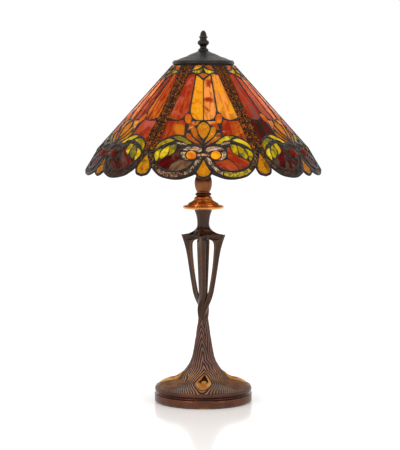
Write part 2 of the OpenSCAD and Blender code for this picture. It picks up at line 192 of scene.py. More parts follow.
def spline(points, step, closed=False):
    """A smooth line through points of 2 numbers, with a third number of 1 at a sharp corner."""
    p = np.array([q[:2] for q in points], float)
    sharp = [len(q) > 2 and q[2] == 1 for q in points]
    n = len(p)
    out = []
    for i in range(n if closed else n - 1):
        a, b = p[i], p[(i + 1) % n]
        before = p[i - 1] if (closed or i > 0) else a
        after = p[(i + 2) % n] if (closed or i + 2 < n) else b
        chord = np.linalg.norm(b - a)
        ta = (b - a) if sharp[i] or (not closed and i == 0) else (b - before) / 2
        tb = ((b - a) if sharp[(i + 1) % n] or (not closed and i + 2 == n)
              else (after - a) / 2)
        ta, tb = [t * min(1, chord / max(np.linalg.norm(t), 1e-9)) for t in (ta, tb)]
        count = max(1, int(round(chord / step)))
        for k in range(count):
            t = k / count
            out.append((2 * t**3 - 3 * t**2 + 1) * a + (t**3 - 2 * t**2 + t) * ta
                       + (3 * t**2 - 2 * t**3) * b + (t**3 - t**2) * tb)
    if not closed:
        out.append(p[-1])
    return np.array(out)


def lathe(name, profile, step=0.8, around=128, shape=None):
    """Turns a profile of [radius, height] points. shape(r, phi, z) gives what is added to the
    radius and to the height."""
    line = spline(profile, step)
    phi, r = np.meshgrid(azimuths(around), line[:, 0])
    z = np.repeat(line[:, 1:], around, axis=1)
    if shape:
        more_r, more_z = shape(r, phi, z)
        r, z = r + more_r, z + more_z
    verts = about_axis(r, phi, z).reshape(-1, 3)
    return new_object(name, verts, grid_faces(len(line), around))


def waves(seed, scale, count=10):
    """A smooth random field of 2 or 3 coordinates, from about -1 to 1."""
    source = np.random.default_rng(seed)
    turns = source.normal(size=(count, 3))
    turns /= np.linalg.norm(turns, axis=1)[:, None]
    turns *= (2 * math.pi / scale) * source.uniform(0.6, 1.5, size=(count, 1))
    phase = source.uniform(0, 2 * math.pi, size=count)

    def field(p):
        p = np.asarray(p, float)
        if p.shape[-1] == 2:
            p = np.concatenate([p, np.zeros(p.shape[:-1] + (1,))], axis=-1)
        return np.sin(p @ turns.T + phase).sum(axis=-1) / math.sqrt(count / 2) / 1.6

    return field


# ---------- the cone of the shade ----------

BEND_Z = 494
BEND_R = 203.4
CONE_RUN = 0.897
SKIRT_RUN = 0.5837
CONE_STEP = math.hypot(1, CONE_RUN)
SKIRT_STEP = math.hypot(1, SKIRT_RUN)
BEND_REACH = BEND_R * CONE_STEP / CONE_RUN


def out_r(z):
    z = np.asarray(z, float)
    return np.where(z > BEND_Z, BEND_R - (z - BEND_Z) * CONE_RUN,
                    BEND_R + (BEND_Z - z) * SKIRT_RUN)


def reach(z):
    """Distance down the slope from the apex."""
    z = np.asarray(z, float)
    return np.where(z > BEND_Z, BEND_REACH - (z - BEND_Z) * CONE_STEP,
                    BEND_REACH + (BEND_Z - z) * SKIRT_STEP)


def height(distance):
    return np.where(distance < BEND_REACH, BEND_Z + (BEND_REACH - distance) / CONE_STEP,
                    BEND_Z - (distance - BEND_REACH) / SKIRT_STEP)


def unroll(phi, z):
    """The point of the flattened cone at azimuth phi and height z."""
    far = reach(z)
    turn = phi * out_r(z) / far
    return np.stack([far * np.sin(turn), -far * np.cos(turn)], axis=-1)


def roll(p):
    """The azimuth and height of points of the flattened cone."""
    far = np.hypot(p[:, 0], p[:, 1])
    z = height(far)
    return np.arctan2(p[:, 0], -p[:, 1]) * far / out_r(z), z


def on_cone(phi, z, lift):
    """Points lifted off the cone along its normal, which turns over 6 mm at the bend."""
    part = np.clip((z - BEND_Z + 3) / 6, 0, 1)
    nr = part / CONE_STEP + (1 - part) / SKIRT_STEP
    nz = part * CONE_RUN / CONE_STEP + (1 - part) * SKIRT_RUN / SKIRT_STEP
    return about_axis(out_r(z) + lift * nr, phi, z + lift * nz)


def flat(points):
    """Outline points [across, height] of the front elevation, on the flattened cone."""
    return [[*unroll(math.asin(x / float(out_r(z))), z), *corner] for x, z, *corner in points]


def by_corner(points):
    """Outline points [distance from the corner line, height], on the flattened cone."""
    return [[*unroll(SECTOR / 2 - x / float(out_r(z)), z), *corner] for x, z, *corner in points]


def oval(x, z, across, down, count):
    turns = [i * math.pi / (count / 2) for i in range(count)]
    return [(x + across * math.cos(a), z + down * math.sin(a)) for a in turns]


# ---------- the panes of one sector: the right half, and those on its centre line ----------

C = 1  # marks a sharp corner

# Each pane's [across, height], or its [distance from the corner line, height].
OUTLINES = {
    "crown_leaves_amber": [[(20.4, 643.9, C), (13.8, 652.5, C), (2.4, 652.5, C), (10.1, 646.2)]],
    "crown_leaves_green": [[(20.4, 641.2, C), (13, 637.7), (5, 639, C), (1.4, 647, C),
        (8.2, 643.7)]],
    "rib_glass": [
        [(1.3, 651, C), (1.3, 577.5, C), (11, 577.5, C), (9.8, 651, C)],
        [(1.3, 574.5, C), (1.3, 497.6, C), (13, 497.6, C), (11, 574.5, C)],
    ],
    "strip_glass": [
        [(12.6, 633.4, C), (1.2, 624, C), (1.2, 551, C), (10, 551.2), (17.3, 554.2),
         (21.6, 560.6), (23.2, 569, C)],
        [(27.3, 634, C), (15.8, 636.6, C), (27.4, 566.4, C), (32, 563), (36.4, 556.8),
         (49, 551.4), (63, 555.4, C)],
    ],
    "oval_gems": [oval(28.3, 553.4, 5.7, 8.5, 10)],
    "field_glass": [[(65, 548.9, C), (48.7, 548.8), (37.6, 551, C), (34.8, 545), (36, 523.6, C),
        (46, 524.8), (57, 523.2), (70.6, 518.6), (80.6, 511.4, C)]],
    "wedge_glass": [[(7.2, 548.6, C), (15, 548.4), (21.2, 548.8, C), (25.8, 543.4),
        (28.4, 532.6, C), (21.2, 537.4), (13, 542.2)]],
    "petal_glass": [
        [(15, 537), (19.6, 537.6), (22.6, 534.2), (18.4, 522.4), (2.6, 510.4, C), (11.4, 526.6)],
        [(25.6, 527), (29.8, 527.2), (31.6, 524.4), (28.6, 517.4), (17.4, 511.4), (4.4, 505.2, C),
         (20.2, 519.8)],
    ],
    "leaf_glass": [
        [(55.2, 520.9, C), (44.2, 521.8), (34, 517.5), (22, 508.6, C), (30.2, 508.6),
         (36.6, 512.9), (45.4, 514.6)],
        [(53, 514.6, C), (63.4, 516.6), (74.6, 512.4), (83.6, 505.4), (87.2, 497.6, C),
         (80, 503.6), (70.6, 508.2), (60, 511.8)],
        [(75.6, 499.4, C), (84, 495.8), (89.6, 489.4), (89, 484), (85.8, 477.6, C), (82.6, 483),
         (80.6, 492)],
        [(62.4, 504.6, C), (63.6, 497), (67.4, 488.4), (77.4, 480.8, C), (79.8, 485),
         (78.6, 490.6), (72.6, 498.6)],
        [(59.4, 505.4, C), (49.2, 507, C), (51.2, 498.6), (54.4, 493), (63.2, 487.4, C),
         (61.4, 497)],
    ],
    "lobe_glass": [
        [(46.8, 502, C), (43.2, 502, C), (44.4, 490), (45.2, 482.4, C), (56.4, 475.6),
         (62.6, 468.2), (65.6, 463, C), (74.6, 466), (81.4, 470.4), (85, 475.4, C), (77.6, 478.6),
         (67, 483.2), (60.4, 486.8), (52.4, 491.8), (48.8, 497.2)],
        [(43.4, 480.2, C), (33, 477.5), (21.2, 477, C), (24.6, 471.6), (33.8, 465.7),
         (47.2, 461.4), (57.6, 461.2), (63, 461.9, C), (59.4, 469), (52.6, 475)],
    ],
    "band_glass": [
        [(37.4, 498.6, C), (27.2, 502.5), (13.4, 503), (4, 499.6, C), (4, 496, C), (8, 494),
         (17.4, 496.9), (30, 496.6)],
        [(38.2, 494.2, C), (41.2, 491.4), (39.8, 487), (36.8, 482.6), (31.6, 479.5),
         (28.2, 480.2, C), (33.2, 484), (34.2, 489.6), (33, 493, C)],
        [(48.4, 511.2, C), (40, 510.4), (31.8, 507.8, C), (32.4, 505.8, C), (40.2, 507.4),
         (48, 508.8, C)],
    ],
    "jewels": [oval(22.4, 488, 8.6, 6.8, 12)],
    "border_glass": [
        [(100.4, 494.6, C), (93.4, 494.8, C), (92.2, 482), (87.6, 470.4), (84.4, 465.2, C),
         (88, 461.6, C), (93.4, 468.4), (99.4, 481.6)],
        [(86.4, 459.6, C), (77.4, 453.8), (62.2, 450), (47.2, 450.4), (37.2, 453.3, C),
         (38.6, 458.6, C), (54.6, 456.4), (69.8, 458.2), (82.4, 463.4, C)],
        [(34, 453.2, C), (24.6, 458.8), (15.2, 468), (7, 477), (3.2, 483, C), (6, 483.6),
         (11, 481.2), (17.8, 472), (26, 462.8), (35.2, 458.8, C)],
    ],
    "tongue_glass": [[(0, 491.4, C), (3, 483.8), (8.6, 474.4), (12.4, 465), (9.6, 457.4),
        (0, 453.8, C)]],
}
ON_CORNER = ("rib_glass", "tongue_glass")
HALF_PANES = {kind: [by_corner(p) if kind in ON_CORNER else flat(p) for p in group]
              for kind, group in OUTLINES.items()}
# Half outlines of the panes that the centre line cuts, from top to bottom.
CENTRE_PANES = {
    "crown_diamonds": [(0, 638.6, C), (8.6, 635.2, C), (0, 628.6, C)],
    "petal_glass": [(0, 547.2, C), (7, 543.4), (11, 535.4), (6.8, 525), (0, 516.6, C)],
    "twist_bars": [(0, 490.4, C), (10.6, 490.2, C), (10.6, 486.8, C), (0, 486.6, C)],
    "tongue_glass": [(0, 479.8, C), (5, 469.6), (12.4, 458.6, C), (8, 452.8),
                     (0, 450.2, C)],
}
# The scalloped edge of half a sector: tongue, notch, lobe, notch and corner tongue.
RIM = (flat([(0, 447.3), (8.4, 449.8), (15, 456, C), (27.7, 451), (42, 446.9),
             (58.5, 446.6), (78.4, 451), (89.6, 460), (95.4, 468.6, C)])
       + by_corner([(15.2, 464), (11.4, 454.6), (0, 450.8)]))
CROWN_Z = 653
OUTLINE_STEP = 1.5


def mirrored(line):
    return line[::-1] * np.array([-1, 1])


def whole(half):
    """A closed outline from its right half, which runs down from one end of its axis."""
    right = spline(flat(half), OUTLINE_STEP)
    return np.concatenate([right, mirrored(right)[1:-1]])


def whole_corner(half):
    """A closed outline about the corner line, from the half on this sector's side."""
    line = spline(half, OUTLINE_STEP)
    phi, z = roll(line)
    other = unroll(SECTOR - phi, z)[::-1]
    return np.concatenate([line, other[1:-1]])


def inside(points, outline):
    """Which points lie in a closed outline."""
    x, y = points[:, 0][:, None], points[:, 1][:, None]
    ax, ay = outline[:, 0][None, :], outline[:, 1][None, :]
    bx, by = np.roll(ax, -1, axis=1), np.roll(ay, -1, axis=1)
    crosses = (ay > y) != (by > y)
    with np.errstate(divide="ignore", invalid="ignore"):
        at = ax + (y - ay) * (bx - ax) / (by - ay)
    return (crosses & (x < at)).sum(axis=1) % 2 == 1


def dense(line, closed, step=0.4):
    ends = np.concatenate([line, line[:1]]) if closed else line
    out = []
    for a, b in zip(ends[:-1], ends[1:]):
        count = max(1, int(np.linalg.norm(b - a) / step))
        out += [a + (b - a) * k / count for k in range(count)]
    return np.array(out)


def edge_distance(lines):
    """A function giving points' distances from the nearest of some lines."""
    points = np.concatenate([dense(line, closed) for line, closed in lines])
    tree = kdtree.KDTree(len(points))
    for i, p in enumerate(points):
        tree.insert((p[0], p[1], 0), i)
    tree.balance()
    return lambda at: np.array([tree.find((p[0], p[1], 0))[2] for p in at])


def hex_points(low, high, step):
    rows = np.arange(low[1], high[1], step * 0.866)
    out = []
    for i, y in enumerate(rows):
        xs = np.arange(low[0] + (i % 2) * step / 2, high[0], step)
        out.append(np.stack([xs, np.full_like(xs, y)], axis=1))
    return np.concatenate(out)


def triangulate(outlines, points):
    """Triangles over closed outlines and loose points, and the corners they share."""
    verts, edges = [], []
    for line in outlines:
        first = len(verts)
        verts += [Vector(p) for p in line]
        edges += [(first + i, first + (i + 1) % len(line)) for i in range(len(line))]
    verts += [Vector(p) for p in points]
    out = delaunay_2d_cdt(verts, edges, [], 0, 1e-5)
    return np.array([tuple(v) for v in out[0]]), np.array(out[2])


def grown(line, by):
    """A closed outline moved outwards."""
    ahead = np.roll(line, -1, axis=0) - line
    ahead /= np.maximum(np.linalg.norm(ahead, axis=1), 1e-9)[:, None]
    normal = np.stack([ahead[:, 1], -ahead[:, 0]], axis=1)
    both = normal + np.roll(normal, 1, axis=0)
    both /= np.maximum(np.linalg.norm(both, axis=1), 0.6)[:, None]
    x, y = line[:, 0], line[:, 1]
    turning = (x * np.roll(y, -1) - np.roll(x, -1) * y).sum()
    return line + both * by * (1 if turning > 0 else -1)


# ---------- came ----------

BEAD_W = 1.35
BEAD_H = 1.25
# How far the came is drawn back from each whole pane, which grows to meet it.
THINNER = 0.3
# Loose points of a mesh keep this share of its grid step from any edge.
CLEAR_OF_EDGE = 0.45


def came_half(step):
    """The flattened came of half a sector: corners, triangles and distance from any edge."""
    rim = spline(RIM, OUTLINE_STEP)
    top = spline([unroll(part * SECTOR, CROWN_Z) for part in (0.5, 0.25, 0)], 2)
    domain = np.concatenate([rim, [unroll(SECTOR / 2, BEND_Z)], top])
    panes = [grown(spline(p, OUTLINE_STEP, True), THINNER) for name, group in
             HALF_PANES.items() for p in group if name != "tongue_glass"]
    halves = [spline(flat(p), OUTLINE_STEP) for p in CENTRE_PANES.values()]
    halves += [spline(p, OUTLINE_STEP) for p in HALF_PANES["tongue_glass"]]
    holes = panes + halves
    from_edge = edge_distance([(p, True) for p in panes] + [(p, False) for p in halves]
                              + [(rim, False)])
    from_wall = edge_distance([(domain, True)])

    def on_came(points):
        keep = inside(points, domain)
        for hole in holes:
            keep &= ~inside(points, hole)
        return keep

    loose = hex_points(domain.min(0), domain.max(0), step)
    loose = loose[on_came(loose)]
    clear = np.minimum(from_edge(loose), from_wall(loose))
    verts, tris = triangulate([domain] + holes, loose[clear > step * CLEAR_OF_EDGE])
    used, tris = np.unique(tris[on_came(verts[tris].mean(axis=1))], return_inverse=True)
    verts = verts[used]
    return verts, tris.reshape(-1, 3), from_edge(verts)


def came(name, step, base, rise, low):
    """The came on one face of the glass: beads rising from base, and edges turned to low."""
    verts, tris, away = came_half(step)
    phi, z = roll(verts)
    near = np.clip(away / BEAD_W, 0, 1)
    bead = np.sqrt(1 - (1 - near) ** 2) * BEAD_H
    lumps = waves(3, 9)
    all_verts, all_faces = [], []
    for k in range(SECTORS):
        for side in (1, -1):
            turned = side * phi + k * SECTOR
            bare = on_cone(turned, z, 0)
            lift = base + rise * bead * (1 + 0.22 * lumps(bare)) + rise * 0.12 * (
                near * lumps(bare * 2.7))
            faces = tris + len(all_verts) * len(verts)
            all_verts.append(on_cone(turned, z, np.where(away < 0.02, low, lift)))
            all_faces.append(faces if side * rise > 0 else faces[:, ::-1])
    return new_object(name, np.concatenate(all_verts), np.concatenate(all_faces).tolist())


def rim_bead():
    """The wire soldered round the scalloped edge."""
    half_phi, half_z = roll(spline(RIM, OUTLINE_STEP))
    phi, z = [], []
    for k in range(SECTORS):
        phi += [*(-half_phi[:0:-1] + k * SECTOR), *(half_phi[:-1] + k * SECTOR)]
        z += [*half_z[:0:-1], *half_z[:-1]]
    phi, z = np.array(phi), np.array(z)
    centre = on_cone(phi, z, -1.4)
    ahead = np.roll(centre, -1, axis=0) - np.roll(centre, 1, axis=0)
    ahead /= np.linalg.norm(ahead, axis=1)[:, None]
    side = np.cross(ahead, on_cone(phi, z, 1) - on_cone(phi, z, 0))
    side /= np.linalg.norm(side, axis=1)[:, None]
    out = np.cross(side, ahead)
    around = 12
    turns = [2 * math.pi * j / around for j in range(around)]
    rings = [centre + side * 1.5 * math.cos(a) + out * 2.3 * math.sin(a) for a in turns]
    verts = np.stack(rings, axis=1).reshape(-1, 3)
    return new_object("rim_bead", verts, grid_faces(len(centre), around, ring=True))


# ---------- glass ----------

def tint(*rgb):
    """A linear colour from one given as it looks, 0 to 255."""
    return tuple((v / 255) ** 2.2 for v in rgb)


YELLOW = tint(236, 180, 40)
AMBER = tint(212, 138, 34)
ORANGE = tint(190, 92, 34)
FLAME = tint(170, 52, 26)
RED = tint(120, 16, 12)
WINE = tint(72, 14, 12)
ROSE = tint(200, 104, 88)
PEACH = tint(240, 176, 92)
LEAF = tint(206, 180, 20)
OLIVE = tint(150, 132, 20)
LIME = tint(226, 210, 60)
MOSS = tint(112, 116, 62)
TAUPE = tint(108, 82, 64)
MAUVE = tint(140, 92, 86)
BROWN = tint(66, 34, 16)
UMBER = tint(26, 14, 8)
HONEY = tint(196, 112, 36)
GOLD = tint(198, 142, 18)
SHELL = tint(212, 168, 146)
CREAM = tint(248, 226, 196)
CLEAR = tint(150, 118, 84)
SMOKE = tint(70, 50, 44)

# For each kind of pane its material, its CAD material slot, and sets of three tints: the
# first fills a pane and the others streak or mottle it.
KINDS = {
    "crown_leaves_amber": ("streaky", "amber_glass",
        [(AMBER, YELLOW, ORANGE), (ROSE, AMBER, ORANGE)]),
    "crown_leaves_green": ("leafy", "green_glass", [(LEAF, OLIVE, MOSS), (MOSS, LEAF, OLIVE)]),
    "crown_diamonds": ("ripple", "brown_glass", [(HONEY, BROWN, AMBER)]),
    "rib_glass": ("ripple", "brown_glass", [(UMBER, HONEY, BROWN)]),
    "strip_glass": ("streaky", "flame_glass",
        [(AMBER, YELLOW, ORANGE), (ORANGE, FLAME, AMBER), (FLAME, ORANGE, RED),
         (PEACH, ORANGE, ROSE), (ROSE, AMBER, FLAME)]),
    "oval_gems": ("jewel", "amber_glass", [(ORANGE, HONEY, AMBER)]),
    "field_glass": ("streaky", "flame_glass", [(ORANGE, FLAME, ROSE), (FLAME, RED, ORANGE)]),
    "wedge_glass": ("streaky", "amber_glass", [(ORANGE, PEACH, AMBER), (PEACH, AMBER, ORANGE)]),
    "petal_glass": ("granular", "flame_glass", [(GOLD, HONEY, AMBER), (HONEY, GOLD, BROWN)]),
    "leaf_glass": ("leafy", "green_glass", [(LEAF, OLIVE, LIME), (OLIVE, LEAF, MOSS)]),
    "lobe_glass": ("lobe", "red_glass",
        [(RED, WINE, TAUPE), (WINE, RED, TAUPE), (TAUPE, MAUVE, RED)]),
    # The dark band and jewel tints below serve the five sectors other than the front: painted
    # shade where little lamplight comes through.
    "band_glass": ("hammered", "pale_glass", [(SMOKE, TAUPE, BROWN)]),
    "jewels": ("jewel", "amber_glass", [(tint(120, 40, 16), RED, BROWN)]),
    "twist_bars": ("hammered", "pale_glass", [(TAUPE, HONEY, BROWN)]),
    "border_glass": ("hammered", "pale_glass", [(BROWN, CLEAR, SMOKE), (SMOKE, TAUPE, BROWN)]),
    "tongue_glass": ("granular", "amber_glass", [(GOLD, HONEY, BROWN)]),
}
# The number of a pane that the centre line of its sector cuts.
CENTRE = 9
# Tints chosen by place: pane, sector (0 front, 1 right, 5 left) and, unless both sides of the
# sector have them, side.
PLACED = {
    "crown_leaves_amber": {(0, 0, 1): (ORANGE, FLAME, AMBER), (0, 0, -1): (AMBER, YELLOW, HONEY)},
    "crown_leaves_green": {(0, 0, 1): (LEAF, OLIVE, LIME), (0, 0, -1): (MOSS, LIME, OLIVE)},
    # In the side sectors the strips turn paler and pinker towards the far edge: painted
    # reflection of the white surroundings at a grazing angle, over the glass's own mixed colours.
    "strip_glass": {
        (0, 0, 1): (AMBER, PEACH, FLAME), (1, 0, 1): (AMBER, PEACH, YELLOW),
        (0, 0, -1): (YELLOW, YELLOW, AMBER), (1, 0, -1): (FLAME, ORANGE, ROSE),
        (1, 5, 1): (AMBER, FLAME, ORANGE), (0, 5, 1): (ORANGE, RED, ROSE),
        (0, 5, -1): (PEACH, ORANGE, ROSE), (1, 5, -1): (ROSE, PEACH, SHELL),
        (1, 1, -1): (ORANGE, FLAME, MAUVE), (0, 1, -1): (ROSE, MAUVE, ORANGE),
        (0, 1, 1): (PEACH, ROSE, ORANGE), (1, 1, 1): (SHELL, ROSE, PEACH),
    },
    "field_glass": {
        (0, 0): (ORANGE, FLAME, AMBER), (0, 5, 1): (FLAME, ROSE, ORANGE),
        (0, 1, -1): (RED, BROWN, FLAME),
    },
    "wedge_glass": {(0, 0, 1): (FLAME, ORANGE, PEACH), (0, 0, -1): (ORANGE, PEACH, ORANGE)},
    "petal_glass": {
        (CENTRE, 0): (GOLD, YELLOW, HONEY), (0, 0, 1): (GOLD, YELLOW, HONEY),
        (1, 0, 1): (HONEY, PEACH, BROWN), (0, 0, -1): (HONEY, GOLD, BROWN),
        (1, 0, -1): (ORANGE, GOLD, BROWN),
    },
    "lobe_glass": {
        (0, 0, 1): (FLAME, ORANGE, MAUVE), (1, 0, 1): (FLAME, ORANGE, ROSE),
        (0, 0, -1): (RED, WINE, TAUPE), (1, 0, -1): (TAUPE, CLEAR, MAUVE),
    },
    # The front sector's bands and jewels take pale, bright tints: painted lamplight from the
    # bulbs behind them.
    "band_glass": {
        (0, 0): (TAUPE, CREAM, SHELL), (1, 0): (TAUPE, CREAM, SHELL),
        (2, 0): (BROWN, CREAM, SHELL),
    },
    "jewels": {(0, 0, 1): (YELLOW, AMBER, YELLOW), (0, 0, -1): (AMBER, YELLOW, HONEY)},
    "twist_bars": {(CENTRE, 0): (HONEY, CREAM, BROWN)},
    "border_glass": {
        (0, 0): (UMBER, CLEAR, BROWN), (1, 0, 1): (MOSS, LIME, YELLOW),
        (1, 0, -1): (BROWN, SHELL, SMOKE), (2, 0, 1): (TAUPE, CREAM, ROSE),
        (2, 0, -1): (BROWN, CREAM, TAUPE),
    },
    "tongue_glass": {
        (CENTRE, 0): (GOLD, YELLOW, HONEY), (0, 0): (GOLD, AMBER, BROWN),
        (0, 5): (GOLD, YELLOW, BROWN),
    },
}
# Turn of the streaks from the line down the slope, in degrees.
STREAK_TURN = {"lobe_glass": 62, "leaf_glass": 40, "petal_glass": 15}
# The long panes, whose streaks all run down to the rim from the apex.
FANNED = ("strip_glass", "rib_glass", "field_glass")
FAN_RADIUS = 230
# Grid step of the mesh and height of its ripples, for the textured kinds and for the others.
RIPPLED = {"rib_glass": (1.6, 0.3), "band_glass": (1.3, 0.28), "border_glass": (1.4, 0.26),
    "tongue_glass": (1.5, 0.2), "petal_glass": (1.6, 0.16), "crown_diamonds": (1.5, 0.2)}
SMOOTH = (4.5, 0.03)
DOMED = {"jewels": 4.6, "oval_gems": 2.2}
DOME_STEP = 1.1
# Heights of the outer and inner faces off the cone, and how far a pane goes under the came.
GLASS_TOP = -0.7
GLASS_BACK = -3.4
TUCKED = 0.45
SWAPPED_SHARE = 0.35


def pane_shapes():
    """Every closed outline of the front sector: kind, pane number, side and outline."""
    shapes = []
    for kind, group in HALF_PANES.items():
        for i, points in enumerate(group):
            if kind == "tongue_glass":
                shapes.append((kind, i, 0, whole_corner(points)))
                continue
            line = spline(points, OUTLINE_STEP, True)
            shapes += [(kind, i, 1, line), (kind, i, -1, mirrored(line))]
    return shapes + [(kind, CENTRE, 0, whole(half)) for kind, half in CENTRE_PANES.items()]


def pane_mesh(kind, outline, seed):
    """Corners, triangles and lift of the outer face of one flattened pane."""
    step, ripple = (DOME_STEP, 0) if kind in DOMED else RIPPLED.get(kind, SMOOTH)
    line = grown(outline, TUCKED + THINNER)
    loose = hex_points(line.min(0), line.max(0), step)
    loose = loose[inside(loose, line)]
    from_edge = edge_distance([(line, True)])
    loose = loose[from_edge(loose) > step * CLEAR_OF_EDGE]
    verts, tris = triangulate([line], loose)
    tris = tris[inside(verts[tris].mean(axis=1), line)]
    away = from_edge(verts)
    if kind in DOMED:
        in_dome = np.clip(away / max(away.max(), 1e-6), 0, 1)
        lift = GLASS_TOP + DOMED[kind] * np.sqrt(1 - (1 - in_dome) ** 2)
    else:
        lift = GLASS_TOP + ripple * waves(seed, 5.5)(verts) + 0.25 * np.clip(away / 3, 0, 1)
    return verts, tris, lift


def boundary(tris):
    edges = dict.fromkeys((t[i], t[i - 2]) for t in tris.tolist() for i in range(3))
    return [(a, b) for a, b in edges if (b, a) not in edges]


def tints_of(kind, index, side, sector):
    placed = PLACED.get(kind, {})
    for key in ((index, sector, side), (index, sector)):
        if key in placed:
            return placed[key]
    choice = list(rng.choice(KINDS[kind][2]))
    if rng.random() < SWAPPED_SHARE:
        choice[1], choice[2] = choice[2], choice[1]
    return choice


def build_glass():
    """One object for each kind of pane, its panes separate closed shells."""
    parts = {}
    for number, (kind, index, side, outline) in enumerate(pane_shapes()):
        pane = pane_mesh(kind, outline, number)
        for sector in range(SECTORS):
            parts.setdefault(kind, []).append(
                (*pane, side, sector, tints_of(kind, index, side, sector),
                 (rng.uniform(0, 40), rng.uniform(0, 40))))
    return {kind: glass_object(kind, panes) for kind, panes in parts.items()}


def glass_object(kind, panes):
    verts, faces, tints, flow = [], [], [[], [], []], []
    turn = math.radians(STREAK_TURN.get(kind, 0))
    for plane, tris, lift, side, sector, colours, shift in panes:
        first = sum(len(v) for v in verts)
        n = len(plane)
        phi, z = roll(plane)
        phi = phi + sector * SECTOR
        verts += [on_cone(phi, z, lift), on_cone(phi, z, np.full(n, GLASS_BACK))]
        faces += (tris + first).tolist() + (tris[:, ::-1] + first + n).tolist()
        faces += [(first + b, first + a, first + a + n, first + b + n)
                  for a, b in boundary(tris)]
        x, y = plane.T
        lean = turn * (side or 1)
        along = x * math.sin(lean) - y * math.cos(lean)
        across = x * math.cos(lean) + y * math.sin(lean)
        if kind in FANNED:
            along = np.hypot(x, y)
            across = np.arctan2(x, -y) * FAN_RADIUS
        flow += [np.stack([across / 100 + shift[0], along / 100 + shift[1]], axis=1)] * 2
        for slot in range(3):
            tints[slot].append(np.tile([*colours[slot], 1.0], (2 * n, 1)))
    obj = new_object(kind + "_panes", np.concatenate(verts), faces)
    mesh = obj.data
    for slot, layer in enumerate(tints):
        point_colours(mesh, "tint_%d" % slot, np.concatenate(layer))
    layer = mesh.uv_layers.new(name="flow")
    corner = np.zeros(len(mesh.loops), int)
    mesh.loops.foreach_get("vertex_index", corner)
    layer.data.foreach_set("uv", np.concatenate(flow)[corner].ravel())
    mesh.set_sharp_from_angle(angle=math.radians(50))
    return obj


# ---------- materials ----------

class Tree:
    """A material's node tree, with short ways to add and join nodes."""

    def __init__(self, name):
        self.material = bpy.data.materials.new(name)
        self.material.use_nodes = True
        self.nodes = self.material.node_tree.nodes
        self.links = self.material.node_tree.links
        self.shader = self.nodes["Principled BSDF"]

    def give(self, socket, value):
        """Joins another node's output to a socket, or sets a constant on it."""
        if isinstance(value, bpy.types.NodeSocket):
            self.links.new(value, socket)
        else:
            socket.default_value = (*value, 1) if socket.type == "RGBA" else value

    def fill(self, node, **values):
        """Capitalised values go to inputs, with _ for a space, and others to settings."""
        for key, value in values.items():
            if key[0].isupper():
                self.give(node.inputs[key.replace("_", " ")], value)
            else:
                setattr(node, key, value)
        return node

    def add(self, kind, **values):
        return self.fill(self.nodes.new("ShaderNode" + kind), **values)

    def finished(self, **values):
        self.fill(self.shader, **values)
        return self.material

    def where(self):
        return self.add("TexCoord").outputs["Object"]

    def attribute(self, name):
        return self.add("Attribute", attribute_name=name).outputs["Color"]

    def noise(self, scale, vector, detail=3, roughness=0.5, distortion=0):
        return self.add("TexNoise", Vector=vector, Scale=scale, Detail=detail,
                        Roughness=roughness, Distortion=distortion).outputs["Fac"]

    def ramp(self, value, low, high, low_out=0.0, high_out=1.0):
        return self.add("MapRange", interpolation_type="SMOOTHSTEP", Value=value,
                        From_Min=low, From_Max=high, To_Min=low_out,
                        To_Max=high_out).outputs["Result"]

    def mix(self, factor, a, b, blend="MIX"):
        node = self.add("Mix", data_type="RGBA", blend_type=blend)
        for index, value in ((0, factor), (6, a), (7, b)):
            self.give(node.inputs[index], value)
        return node.outputs[2]

    def bump(self, height_out, strength, distance):
        return self.add("Bump", Height=height_out, Strength=strength,
                        Distance=distance).outputs["Normal"]


# Share of the light that a pane lets through, and the warmth of the lamplight painted onto each
# pane as a glow of its own.
THROUGH = 0.6
LAMPLIGHT = (1.0, 0.8, 0.5)


def art_glass(name, streak, mottle, flecks=0.0, fleck_size=2.6, roughness=0.14, painted_glow=0.3,
              contrast=0.1, dark=0.5):
    """Hand-rolled art glass: streaks along the pane, mottling, a rolled or flecked face, and a
    painted glow of lamplight.
    """
    t = Tree(name)
    uv = t.add("UVMap", uv_map="flow").outputs["UV"]
    stretched = t.add("Mapping", Vector=uv,
                      Scale=(streak[0] * 4, streak[1] * 4, 1)).outputs["Vector"]
    first, second, third = [t.attribute("tint_%d" % i) for i in range(3)]
    cloud = t.noise(mottle * 0.45, uv, 3, 0.5, 0.8)
    if flecks:
        spots = t.noise(100 / fleck_size, uv, 2, 0.6, 1.5)
        colour = t.mix(t.ramp(spots, 0.5, 0.5 + contrast), first, second)
        colour = t.mix(t.ramp(cloud, 0.48, 0.62, 0.0, 0.6), colour, third)
        normal = t.bump(spots, 0.9, 0.001 * flecks)
    else:
        wisps = t.noise(0.75, stretched, 3, 0.5, 1.2)
        colour = t.mix(t.ramp(wisps, 0.41, 0.58), first, second)
        colour = t.mix(t.ramp(cloud, 0.5, 0.66), colour, third)
        normal = t.bump(t.noise(9, uv, 2), 0.3, 0.0012)
    shade = t.noise(mottle * 1.3, stretched, 3, 0.6, 0.8)
    colour = t.mix(t.ramp(shade, 0.45, 0.75, 0.0, dark), colour, (0.03, 0.006, 0.004))
    back = t.add("BsdfTranslucent", Color=colour, Normal=normal)
    blend = t.add("MixShader")
    for index, value in enumerate((THROUGH, t.shader.outputs[0], back.outputs[0])):
        t.give(blend.inputs[index], value)
    t.give(t.nodes["Material Output"].inputs["Surface"], blend.outputs[0])
    # The emission is painted lamplight: each pane glows in its own colour as if lit through from
    # the bulbs.
    return t.finished(Normal=normal, Base_Color=colour, Roughness=roughness, IOR=1.5,
                      Specular_IOR_Level=0.1, Emission_Strength=painted_glow,
                      Emission_Color=t.mix(1.0, colour, LAMPLIGHT, "MULTIPLY"))


